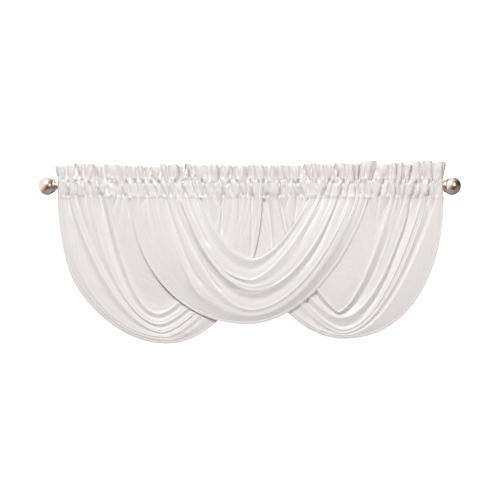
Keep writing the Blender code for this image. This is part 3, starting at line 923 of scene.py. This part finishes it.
# %% [markdown]
# ## The heading
# One strip, folded over at the top. Two rows of gathering stitches, one above the rod and one below
# it, make the pocket between them and the standing ruffle above. Its section is a hairpin: up the
# front, over the top and down the back. Along the rod the strip is drawn up to about seven tenths of
# its length, so it stands in pleats. Each pleat is a narrow deep line with a rounded puff beside it,
# and many of these lines lean on their way up.

# %% Heading tables
# stitch and top are where a pleat's deep line crosses the upper stitches and the ruffle's top,
# height is the ruffle's top edge to its right, all in millimetres, and depth is a share
Pleat = namedtuple("Pleat", "stitch top height depth")
PLEATS = table(
    Pleat,
    (-512, -512, 53, 0.6), (-489, -487, 55, 0.5), (-447, -469, 59, 0.8), (-438, -444, 60, 0.4),
    (-409, -411, 55, 1.0), (-387, -393, 58, 1.0), (-341, -345, 55, 0.7), (-318, -321, 54, 0.6),
    (-296, -303, 56, 0.8), (-276, -283, 51, 0.9), (-255, -269, 52, 0.7), (-229, -240, 59, 0.7),
    (-213, -221, 58, 1.0), (-187, -187, 54, 1.0), (-156, -176, 60, 1.2), (-141, -154, 56, 1.0),
    (-107, -109, 58, 0.6), (-83, -81, 56, 1.1), (-43, -44, 55, 1.0), (-5, -7, 57, 1.0),
    (18, 16, 56, 0.6), (45, 40, 55, 0.9), (73, 70, 57, 1.0), (95, 91, 55, 0.6), (112, 108, 54, 0.5),
    (158, 142, 59, 1.2), (172, 160, 61, 0.6), (184, 180, 59, 0.7), (205, 200, 58, 0.5),
    (242, 222, 61, 1.1), (262, 259, 60, 0.5), (281, 279, 60, 0.8), (290, 295, 67, 0.9),
    (325, 343, 58, 1.1), (374, 377, 63, 0.4), (392, 393, 63, 0.7), (412, 413, 59, 0.7),
    (425, 435, 66, 1.0), (470, 458, 67, 1.0), (489, 487, 65, 0.7), (516, 516, 53, 0.6),
)

# Crinkles of the pocket's front, from the upper stitches down to the seam
POCKET_CREASES = table(
    Crease,
    (2.5, 3.5, 1, 0.6, ((-511, 26), (-492, 12))), (4.0, 3.5, 0.6, 1, ((-484, 10), (-483, -32))),
    (-1.5, 2.5, 1, 0.3, ((-489, 20), (-489, -3))), (3.0, 1.8, 1, 1, ((-463, 11.5), (-452, 11.5))),
    (3.0, 2.5, 1, 0.5, ((-447, 10), (-436, -23))),
    (3.0, 4.0, 1, 1, ((-408, 12), (-405, -6), (-399, -32))),
    (2.0, 4.0, 1, 0.5, ((-385, 15), (-351, -6))), (-1.5, 3.0, 1, 0.5, ((-377, 26), (-353, 7))),
    (3.0, 3.5, 0.6, 1, ((-343, 20), (-337, -32))), (3.0, 2.5, 1, 0.3, ((-328, 10), (-317, -14))),
    (2.5, 2.5, 1, 0.5, ((-323, 23), (-319, -1))), (2.0, 3.0, 1, 0.4, ((-308, 15), (-300, -12))),
    (4.5, 3.0, 0.4, 1, ((-283, -4), (-272, -32))),
    (4.0, 3.0, 0.8, 1, ((-263, 23), (-236, -4), (-224, -32))),
    (1.5, 3.0, 0.6, 1, ((-247, 7), (-239, -28))), (3.5, 3.0, 0.4, 1, ((-217, -1), (-211, -32))),
    (4.0, 2.0, 1, 1, ((-200, 12), (-195, 11))), (3.5, 2.0, 1, 1, ((-179, 11), (-174, 11))),
    (3.5, 2.0, 1, 1, ((-160, 12), (-155, 12))),
    (5.5, 3.5, 0.5, 1, ((-196, 10), (-176, -12), (-167, -32))),
    (3.5, 3.0, 1, 0.4, ((-141, 15), (-137, -12))),
    (3.0, 3.0, 0.6, 1, ((-129, 18), (-124, -1), (-116, -30))),
    (1.5, 2.5, 0.6, 0.6, ((-105, 3), (-91, 8), (-80, 10))),
    (1.5, 2.5, 0.6, 0.6, ((-98, -3), (-85, -12))), (5.0, 3.0, 0.4, 1, ((-68, -9), (-68, -32))),
    (2.0, 2.5, 0.6, 1, ((-63, -1), (-49, 15))), (1.5, 2.5, 0.6, 1, ((-55, -12), (-44, 7))),
    (5.0, 3.0, 0.4, 1, ((-25, -12), (-16, -32))), (2.0, 3.0, 1, 0.5, ((-36, 12), (-31, -17))),
    (3.0, 2.5, 1, 0.3, ((-9, 26), (-5, -4))), (4.5, 2.5, 1, 1, ((1, 10), (3, 6))),
    (5.5, 2.2, 0.5, 1, ((8, -1), (8, -32))), (2.5, 2.5, 1, 0.6, ((23, 12), (31, -17))),
    (-1.5, 2.0, 0.6, 1, ((32, 1), (33, -20))), (4.5, 3.0, 0.5, 1, ((40, 9), (37, -32))),
    (3.5, 2.5, 0.3, 1, ((44, -12), (49, -32))), (5.5, 2.2, 0.5, 1, ((79, 4), (83, -32))),
    (2.5, 3.0, 1, 0.4, ((95, 18), (111, -1))), (5.0, 3.0, 0.6, 1, ((116, 12), (129, -12), (143, -32))),
    (3.5, 2.2, 0.6, 1, ((127, 7), (143, -20))), (-1.5, 2.0, 0.6, 1, ((113, -1), (122, -17))),
    (5.0, 2.5, 1, 1, ((151, 14), (157, 13))), (2.0, 3.0, 1, 0.4, ((169, 15), (185, -6))),
    (5.0, 4.0, 0.4, 1, ((207, -4), (196, -17), (192, -32))), (2.5, 3.0, 1, 0.6, ((204, 15), (217, 10))),
    (4.5, 3.0, 0.6, 1, ((252, 20), (245, -12), (241, -32))), (2.0, 3.0, 1, 0.4, ((239, 15), (236, -6))),
    (4.0, 3.0, 0.8, 1, ((281, 15), (285, -12), (284, -32))),
    (3.0, 3.0, 1, 0.8, ((299, 23), (292, -1), (295, -31))), (2.5, 3.0, 0.6, 1, ((308, -1), (311, -30))),
    (2.5, 3.0, 1, 1, ((324, -20), (329, -20))), (4.0, 3.5, 1, 0.8, ((359, 23), (359, -4), (345, -31))),
    (1.5, 3.0, 0.6, 1, ((364, -12), (377, -23))), (3.5, 3.0, 0.6, 1, ((389, 4), (392, -32))),
    (2.5, 2.5, 1, 0.5, ((407, 20), (399, -17))), (2.5, 2.5, 1, 0.5, ((417, 15), (413, -17))),
    (4.0, 3.0, 1, 0.8, ((447, 7), (436, -28))), (3.0, 2.5, 0.6, 1, ((432, -4), (433, -32))),
    (3.0, 3.0, 1, 0.5, ((457, 26), (455, -1))), (4.5, 2.2, 0.6, 1, ((480, 2), (479, -17))),
    (2.0, 2.5, 1, 0.6, ((492, 20), (481, 4))), (2.0, 2.5, 1, 0.6, ((465, 23), (473, 4))),
    (2.0, 3.5, 0.6, 1, ((503, -1), (497, -32))),
)

# %% Stations of the heading's section
# ruffle is the share of the pleats' depth there, and steps the rows up to the next station
Station = namedtuple("Station", "name z forward ruffle steps")
STITCH_Z = 0.0141
TOP_Z = 0.0570
STATIONS = table(
    Station,
    ("front seam", -0.0345, 0.0100, 0.00, 4),
    ("front lap", -0.0275, 0.0100, 0.00, 6),
    ("front drop", -0.0170, 0.0124, 0.36, 6),
    ("front of rod", -0.0020, 0.0122, 0.38, 5),
    ("front shoulder", 0.0070, 0.0122, 0.36, 4),
    ("front stitch", STITCH_Z, 0.0156, 0.45, 5),
    ("front ruffle", 0.0240, 0.0128, 0.70, 5),
    ("front rise", 0.0450, 0.0120, 0.90, 5),
    ("top", TOP_Z, 0.0090, 0.95, 4),
    ("back rise", 0.0450, 0.0040, 0.90, 3),
    ("back ruffle", 0.0240, 0.0050, 0.74, 3),
    ("back stitch", STITCH_Z, 0.0026, 0.40, 2),
    ("back shoulder", 0.0090, -0.0106, -0.05, 3),
    ("back of rod", -0.0020, -0.0140, -0.16, 3),
    ("back drop", -0.0170, -0.0105, -0.15, 3),
    ("back seam", -0.0310, -0.0080, -0.10, 0),
)
POCKET_FRONT = ("front drop", "front of rod", "front shoulder")
print("pleats:", len(PLEATS), "crinkles:", len(POCKET_CREASES))

# %% Pleats and ruffle
RUFFLE_DEPTH = 0.0080
PUFF_POWER = 3.0
LOPSIDED = 0.35
NOTCH = 0.0036
NOTCH_WIDTH = 0.0034
ARCH = 0.0016
HEIGHT_BLEND = 0.0025
LINE_DEPTH = 0.0110
LINE_WIDTH = 0.0024
LINE_TOP_FADE = 0.45
LINE_LOWEST = -0.2
LINE_START = (-0.12, 0.06)
GATHER_LINE_DEPTH = 0.0078
GATHER_LINE_WIDTH = 0.0020
GATHER_LINE_START = (-0.10, 0.15)
GATHER_LINE_END = (0.95, 1.15)
SEED = 7


def pleat_lines(rise):
    """x of every pleat's deep line at a share of the way from the stitches to the ruffle's top."""
    stitch = column(PLEATS, "stitch") * MM
    return stitch + (column(PLEATS, "top") * MM - stitch) * rise


def ruffle_wave(x, rise):
    """Below 0 in a pleat's deep line and up to 1 on the puff beside it, which leans to one side."""
    depth = column(PLEATS, "depth")
    index, share = between_lines(pleat_lines(rise), x)
    lean = np.random.default_rng(SEED).uniform(-LOPSIDED, LOPSIDED, len(PLEATS))
    return puff(share ** np.exp(lean[index]), depth[index], depth[index + 1], PUFF_POWER)


def ruffle_top(x):
    """Height of the ruffle's top edge, with a notch at each deep line."""
    lines = pleat_lines(1.0)
    heights = column(PLEATS, "height") * MM
    top = np.full(x.shape, heights[0])
    for line, before, after in zip(lines[1:], heights[:-1], heights[1:]):
        top = top + (after - before) * smooth_step(line - HEIGHT_BLEND, line + HEIGHT_BLEND, x)
    for line, pleat in zip(lines, PLEATS):
        top = top - NOTCH * pleat.depth**2 * hump(x - line, NOTCH_WIDTH)
    _, share = between_lines(lines, x)
    return top - ARCH * np.abs(2.0 * share - 1.0) ** PUFF_POWER


def deep_lines(x, z):
    """A narrow, deep fold along every pleat's line of the ruffle and every gather of the pocket."""
    rise = np.clip((z - STITCH_Z) / (TOP_Z - STITCH_Z), LINE_LOWEST, 1.0)
    strength = LINE_DEPTH * (1.0 - LINE_TOP_FADE * rise) * smooth_step(*LINE_START, rise)
    push = np.zeros(x.shape)
    for pleat in PLEATS:
        line = (pleat.stitch + (pleat.top - pleat.stitch) * rise) * MM
        push += strength * pleat.depth**2 * hump(x - line, LINE_WIDTH)
    height = (z - SEAM_Z) / (STITCH_Z - SEAM_Z)
    strength = smooth_step(*GATHER_LINE_START, height) * (1.0 - smooth_step(*GATHER_LINE_END, height))
    for gather in GATHERS:
        line = (gather.seam + (gather.stitch - gather.seam) * height) * MM
        push += GATHER_LINE_DEPTH * gather.depth**2 * strength * hump(x - line, GATHER_LINE_WIDTH)
    return push


# %% [markdown]
# ## Where the draped cloths meet the heading
# At the seam the heading's front layer lies on the draped cloths. Their surfaces are cut at the
# seam's height, and the cut tells how far forward they come at each place along the rod.

# %% Reach of the draped cloths
SEAM_GAP = 0.008
SEAM_SPREAD = 7
SEAM_DIP = 0.0100
NOT_REACHED = -1.0


def level_cut(points, level):
    """Where a cloth's grid lines cross a height: x, and how far forward they are there."""
    crossings = []
    for here, there in ((points[:-1], points[1:]), (points[:, :, :-1], points[:, :, 1:])):
        above = here[:, 2] - level
        below = there[:, 2] - level
        hit = above * below < 0.0
        share = above[hit] / (above[hit] - below[hit])
        x, y = (here[:, axis][hit] + (there[:, axis][hit] - here[:, axis][hit]) * share for axis in (0, 1))
        crossings.append(np.stack([x, -y]))
    return np.concatenate(crossings, axis=1)


def seam_reach(x, cloths, level):
    """How far forward the draped cloths come at each x, at one height."""
    reach = np.zeros(x.shape)
    pitch = x[1] - x[0]
    for points in cloths:
        cut_x, cut_forward = level_cut(points, level)
        cell = np.clip(np.round((cut_x - x[0]) / pitch).astype(int), 0, len(x) - 1)
        own = np.full(x.shape, NOT_REACHED)
        np.maximum.at(own, cell, cut_forward)
        found = x[own > NOT_REACHED]
        own = np.interp(x, found, own[own > NOT_REACHED])
        away = np.abs(x[:, None] - found[None, :]).min(axis=1)
        reach = np.maximum(reach, np.where(away < SEAM_GAP, own, 0.0))
    padded = np.pad(reach, SEAM_SPREAD, mode="edge")
    nearby = np.lib.stride_tricks.sliding_window_view(padded, 2 * SEAM_SPREAD + 1).max(axis=1)
    return np.maximum(reach, nearby - SEAM_DIP)


# %% [markdown]
# ## Small scattered creases
# Between the pleats a gathered strip is full of small creases. These are scattered with a fixed
# seed: short ones all over, ones that start at the upper stitches, and long ones across each part.

# %% Scattered creases
# Ranges are in millimetres. lean is the spread of how far a crease leans, as a share of its length
# for the short ones and in millimetres for the others, and ends are its strengths at its two ends
Scatter = namedtuple("Scatter", "count x lean depth width ends")
SHORT = Scatter(150, (-505, 512), 0.75, (0.8, 2.2), (1.6, 3.2), (0.3, 0.7))
SHORT_HEIGHTS = ((-24, 10), (16, 34))
SHORT_LENGTH = (7, 17)
AT_STITCH = Scatter(110, (-508, 515), 2.5, (0.8, 2.4), (1.4, 2.4), (1.0, 0.0))
AT_STITCH_LENGTH = (7, 16)
AT_STITCH_LONGER_ABOVE = 6
AT_STITCH_BEND = (0.3, 0.4)  # shares of the lean and of the length at the path's middle point
LONG = Scatter(170, (-508, 512), 3.5, (1.4, 4.4), (1.8, 3.4), (0.8, 0.6))
LONG_HEIGHTS = ((16, 58), (-31, 12))
LONG_START = (0, 9)
LONG_END = (0, 12)
LONG_SIGNS = (-0.7, 1.0)
MIDDLE_WANDER = 0.8


def short_crease(dice):
    """A short crease of the pocket or of the ruffle's foot, a trough or a ridge."""
    x = dice.uniform(*SHORT.x)
    z = dice.choice([dice.uniform(*heights) for heights in SHORT_HEIGHTS])
    length = dice.uniform(*SHORT_LENGTH)
    lean = dice.normal(0.0, SHORT.lean) * length
    depth = dice.choice((-1.0, 1.0)) * dice.uniform(*SHORT.depth)
    path = ((x - lean / 2, z + length / 2), (x + dice.normal(0.0, MIDDLE_WANDER), z),
            (x + lean / 2, z - length / 2))
    return Crease(depth, dice.uniform(*SHORT.width), *SHORT.ends, path)


def stitch_crease(dice):
    """A trough that starts at the upper stitches and fades away above or below them."""
    x = dice.uniform(*AT_STITCH.x)
    z = STITCH_Z / MM
    up = dice.choice((-1.0, 1.0))
    rise = up * (dice.uniform(*AT_STITCH_LENGTH) + AT_STITCH_LONGER_ABOVE * (up > 0))
    lean = dice.normal(0.0, AT_STITCH.lean)
    out_share, up_share = AT_STITCH_BEND
    path = ((x, z), (x + lean * out_share, z + rise * up_share), (x + lean, z + rise))
    return Crease(dice.uniform(*AT_STITCH.depth), dice.uniform(*AT_STITCH.width), *AT_STITCH.ends, path)


def long_crease(dice):
    """A long trough or ridge that runs up the ruffle or across the pocket."""
    x = dice.uniform(*LONG.x)
    low, high = dice.choice(LONG_HEIGHTS)
    low, high = low + dice.uniform(*LONG_START), high - dice.uniform(*LONG_END)
    lean = dice.normal(0.0, LONG.lean)
    depth = dice.choice(LONG_SIGNS) * dice.uniform(*LONG.depth)
    middle = (x + lean / 2 + dice.normal(0.0, MIDDLE_WANDER), (low + high) / 2)
    return Crease(depth, dice.uniform(*LONG.width), *LONG.ends, ((x, low), middle, (x + lean, high)))


def loose_creases():
    """Small uneven creases all over the heading's front, the same at every run."""
    dice = np.random.default_rng(SEED)
    kinds = ((SHORT, short_crease), (AT_STITCH, stitch_crease), (LONG, long_crease))
    return tuple(make_crease(dice) for kind, make_crease in kinds for _ in range(kind.count))


print("scattered creases:", SHORT.count + AT_STITCH.count + LONG.count)

# %% [markdown]
# ## The heading's rows
# Each station of the section becomes one row of points along the rod. At the seam the row takes the
# draped cloths' reach, above it the row is free and stands in puffs.

# %% Heading shape
HEADING_COLUMNS = 760
LEFT_END_X = -0.512
RIGHT_END_X = 0.516
SEAM_LEVEL = -0.0345
LAP_LEVEL = -0.0300
SEAM_LIFT = 0.0003
LAP_RISE = 0.0004
LAP_WAVER = 0.0010
LAP_ROWS = 4
SEAM_SHARES = {"front drop": 0.5, "front of rod": 0.2}
ROD_CLEAR = 0.0106
STITCH_PULL = 0.0036
STITCH_PULL_WIDTH = 0.0015
STITCH_WAVERS = 130
STITCH_WAVER_UP = 0.0052
END_FLARE = 0.009
END_FLARE_SPREAD = 0.030
FLARE_LIMIT = 1.2
SEAM_HOLD_BAND = (-0.0340, -0.0260)
PUSH_LIMIT = 0.0120
BACK_PUSH = 0.8


def rod_clearance(z):
    """The least a heading's front may stand forward, so that it goes round the rod."""
    return np.sqrt(np.maximum(0.0, ROD_CLEAR**2 - z**2))


def end_flare(x, z):
    """The ruffle's two ends lean out above the stitch line."""
    above = np.clip((z - STITCH_Z) / (TOP_Z - STITCH_Z), 0.0, FLARE_LIMIT)
    right = np.exp(-(RIGHT_END_X - x) / END_FLARE_SPREAD)
    left = np.exp(-(x - LEFT_END_X) / END_FLARE_SPREAD)
    return END_FLARE * above * (right - left)


def rows_before(name):
    """The number of rows above which a named station lies."""
    names = [station.name for station in STATIONS]
    return sum(station.steps for station in STATIONS[:names.index(name)])


def station_row(station, x, top, waver, seam, lap):
    """The key row of one station: puffs where it is free, the draped cloths' reach at the seam."""
    above = max(0.0, station.z - STITCH_Z) / (TOP_Z - STITCH_Z)
    z = station.z + above * (top - TOP_Z)
    if station.name in ("front shoulder", "front stitch"):
        z = z + STITCH_WAVER_UP * waver
    wave = ruffle_wave(x, above)
    if station.name in POCKET_FRONT:
        wave = 1.0 + gather_wave(x, (station.z - SEAM_Z) / (STITCH_Z - SEAM_Z))
    forward = station.forward + RUFFLE_DEPTH * station.ruffle * wave
    if station.name == "front seam":
        forward = seam
    if station.name == "front lap":
        forward = lap + LAP_RISE
    if station.name in SEAM_SHARES:
        share = SEAM_SHARES[station.name]
        forward = np.maximum(forward, forward * (1.0 - share) + seam * share)
    return x + end_flare(x, z), -forward, z


# %% Making the heading
def fold_push(folds, waver):
    """How far back the creases, the deep lines and the stitches press the heading's front and top."""
    x = folds[:, 0]
    z = folds[:, 2]
    z_waver = STITCH_WAVER_UP * waver
    push = press_creases(x, z, POCKET_CREASES + loose_creases()) + deep_lines(x, z - z_waver)
    push = push + STITCH_PULL * (waver + 0.5) ** 3 * hump(z - STITCH_Z - z_waver, STITCH_PULL_WIDTH)
    return PUSH_LIMIT * np.tanh(push / PUSH_LIMIT) * smooth_step(*SEAM_HOLD_BAND, z)


def make_heading():
    """The gathered heading, with its pocket and ruffle."""
    x = np.linspace(LEFT_END_X, RIGHT_END_X, HEADING_COLUMNS + 1)
    top = ruffle_top(x)
    cloths = (left_points, right_points, centre_points)
    seam = seam_reach(x, cloths, SEAM_LEVEL) + SEAM_LIFT
    lap = seam_reach(x, cloths, LAP_LEVEL) + SEAM_LIFT
    dice = np.random.default_rng(SEED)
    waver = np.interp(x, np.linspace(x[0], x[-1], STITCH_WAVERS), dice.random(STITCH_WAVERS)) - 0.5
    keys = [station_row(station, x, top, waver, seam, lap) for station in STATIONS]
    points = smooth_through(np.array(keys), [station.steps for station in STATIONS[:-1]])
    folds = points[:rows_before("back stitch")]
    z = folds[:, 2]
    push = fold_push(folds, waver)
    push[rows_before("top"):] *= BACK_PUSH
    forward = -folds[:, 1] - push
    folds[:, 1] = -np.where(z < STITCH_Z, np.maximum(forward, rod_clearance(z)), forward)
    points[:LAP_ROWS, 2] += LAP_WAVER * waver
    edge = from_hem(points) + 2 * HEM_STITCH
    heading = cloth_object("gathered_heading", points[::-1], edge[::-1])
    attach(heading, "root")
    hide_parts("heading")
    print(f"gathered_heading: {flat_area(heading.data):.3f} square metres")
    return heading


heading = make_heading()

# %% [markdown]
# ## Finials and rod
# A finial is turned: one outline, spun about the rod's axis. The ball sits on a thin disc, then comes
# a narrower step, and a short neck meets the rod's end. The rod is a plain tube, hidden in the pocket.

# %% Spinning an outline
ROD_RADIUS = 0.0095
ROD_LENGTH = 1.028
ROD_WALL = 0.0008
BALL_RADIUS = 0.0245
BALL_CENTRE = 0.0268
NECK_RADIUS = 0.0098
STEP_RADIUS = 0.0122
DISC_RADIUS = 0.0172
NECK_LENGTH = 0.0032
STEP_END = 0.0060
DISC_END = 0.0102
GAP = 0.0003
TURN_STEPS = 96
BALL_STEPS = 40
EDGE_ROUND = 0.0004
CORNER_SHARE = 0.3  # how far a rounded corner's middle point stays from its two sides
MERGE_DISTANCE = 1e-7
FLAT_ANGLE = math.radians(30)


def spin_outline(name, outline, closed):
    """Turns an outline of (radius, length) points about the X axis."""
    turned = bmesh.new()
    verts = [turned.verts.new((length, radius, 0.0)) for radius, length in outline]
    edges = [turned.edges.new(pair) for pair in zip(verts[:-1], verts[1:])]
    if closed:
        edges.append(turned.edges.new((verts[-1], verts[0])))
    bmesh.ops.spin(turned, geom=verts + edges, axis=(1.0, 0.0, 0.0), cent=(0.0, 0.0, 0.0),
                   angle=2 * math.pi, steps=TURN_STEPS, use_merge=True)
    bmesh.ops.remove_doubles(turned, verts=turned.verts, dist=MERGE_DISTANCE)
    bmesh.ops.recalc_face_normals(turned, faces=turned.faces)
    piece = shape_object(name, turned, nickel)
    piece.data.shade_smooth()
    piece.data.set_sharp_from_angle(angle=FLAT_ANGLE)
    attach(piece, "root")
    return piece


# %% Finials and rod
def rounded_corner(radius, length, inward, back):
    """Three points that round a turned corner."""
    return [
        (radius + inward * EDGE_ROUND, length),
        (radius + inward * EDGE_ROUND * CORNER_SHARE, length + back * EDGE_ROUND * CORNER_SHARE),
        (radius, length + back * EDGE_ROUND),
    ]


def finial_outline():
    """The finial's outline as (radius, distance from the rod's end), from the ball's far pole."""
    meet = math.asin((DISC_END + EDGE_ROUND - BALL_CENTRE) / BALL_RADIUS)
    points = [(0.0, BALL_CENTRE + BALL_RADIUS)]
    for step in range(1, BALL_STEPS + 1):
        angle = math.pi / 2 + (meet - math.pi / 2) * step / BALL_STEPS
        points.append((BALL_RADIUS * math.cos(angle), BALL_CENTRE + BALL_RADIUS * math.sin(angle)))
    points += [(DISC_RADIUS - 2 * EDGE_ROUND, DISC_END)]
    points += rounded_corner(DISC_RADIUS, DISC_END, -1, -1)
    points += rounded_corner(DISC_RADIUS, STEP_END, -1, 1)[::-1]
    points += [(STEP_RADIUS, STEP_END)]
    points += rounded_corner(STEP_RADIUS, NECK_LENGTH, -1, 1)[::-1]
    points += [(NECK_RADIUS, NECK_LENGTH)]
    points += [(NECK_RADIUS, EDGE_ROUND), (NECK_RADIUS - EDGE_ROUND, 0.0), (0.0, 0.0)]
    return points


def make_finial(name, node, side):
    """A ball finial on the rod's left (side -1) or right (side 1) end."""
    finial = spin_outline(name, finial_outline(), False)
    if side < 0:
        finial.data.transform(Matrix.Rotation(math.pi, 4, "Z"))
    finial.data.transform(Matrix.Translation((side * (ROD_LENGTH / 2 + GAP), 0.0, 0.0)))
    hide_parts(node)


def make_rod():
    """A thin steel tube with rounded lips."""
    half = ROD_LENGTH / 2
    inner = ROD_RADIUS - ROD_WALL
    lip = ROD_WALL * CORNER_SHARE
    outline = [
        (ROD_RADIUS, -half + lip), (ROD_RADIUS, half - lip), (ROD_RADIUS - lip, half),
        (inner + lip, half), (inner, half - lip), (inner, -half + lip), (inner + lip, -half),
        (ROD_RADIUS - lip, -half),
    ]
    rod = spin_outline("rod_tube", outline, True)
    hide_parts("rod")


make_finial("left_ball_finial", "finial_left", -1)
make_finial("right_ball_finial", "finial_right", 1)
make_rod()
print("turned three metal pieces")
